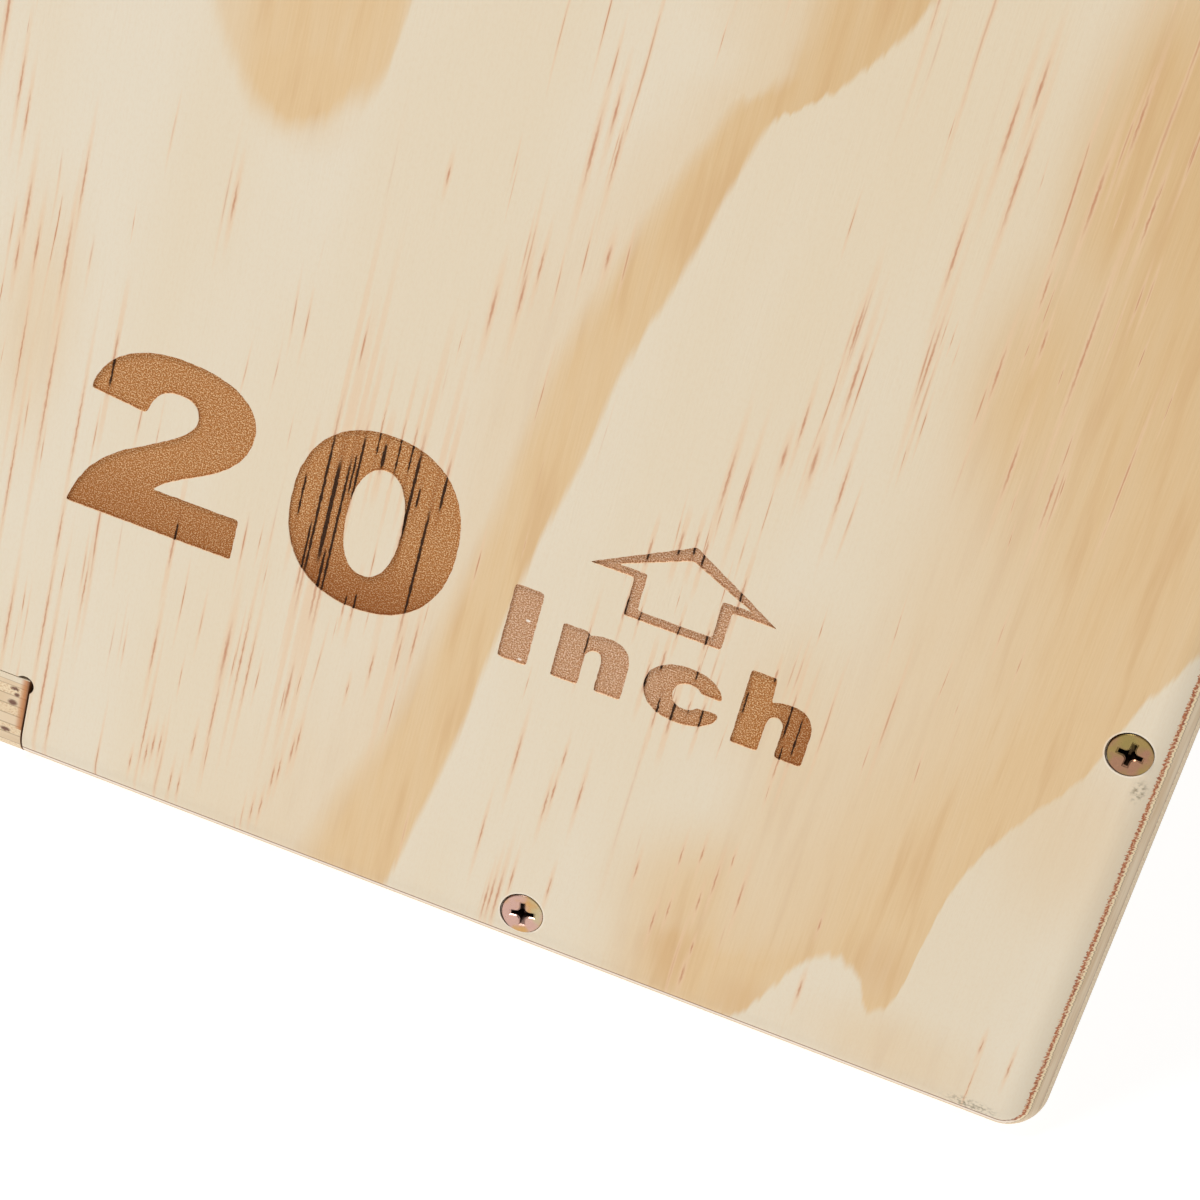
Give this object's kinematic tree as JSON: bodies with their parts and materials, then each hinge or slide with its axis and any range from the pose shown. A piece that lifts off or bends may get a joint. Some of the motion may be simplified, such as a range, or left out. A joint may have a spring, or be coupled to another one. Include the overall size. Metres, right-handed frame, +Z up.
{
  "type": "plyo box",
  "caption": "Wooden plyo jump box of finger-jointed plywood panels with rounded edges, countersunk screws, side hand-holds and an inner brace; turns to three heights.",
  "frame": {"origin": "on the floor under the middle of the box, which stands at its lowest height", "axes": "+X across the front panel towards its right-hand edge, +Y from the front panel to the back panel, +Z up"},
  "size_m": [0.6096, 0.762, 0.508],
  "materials": {
    "pine_plywood": "sanded, matt",
    "screw_zinc": "yellow zinc plated"
  },
  "bodies": {
    "root": {"front_panel": "pine_plywood", "back_panel": "pine_plywood", "left_panel": "pine_plywood", "right_panel": "pine_plywood", "top_panel": "pine_plywood", "bottom_panel": "pine_plywood", "centre_brace": "pine_plywood", "front_to_bottom_screws": "screw_zinc", "front_to_top_screws": "screw_zinc", "front_to_left_screws": "screw_zinc", "front_to_right_screws": "screw_zinc", "front_to_brace_screws": "screw_zinc", "back_to_bottom_screws": "screw_zinc", "back_to_top_screws": "screw_zinc", "back_to_left_screws": "screw_zinc", "back_to_right_screws": "screw_zinc", "back_to_brace_screws": "screw_zinc", "bottom_to_left_screws": "screw_zinc", "bottom_to_right_screws": "screw_zinc", "top_to_left_screws": "screw_zinc", "top_to_right_screws": "screw_zinc"}
  },
  "joints": []
}
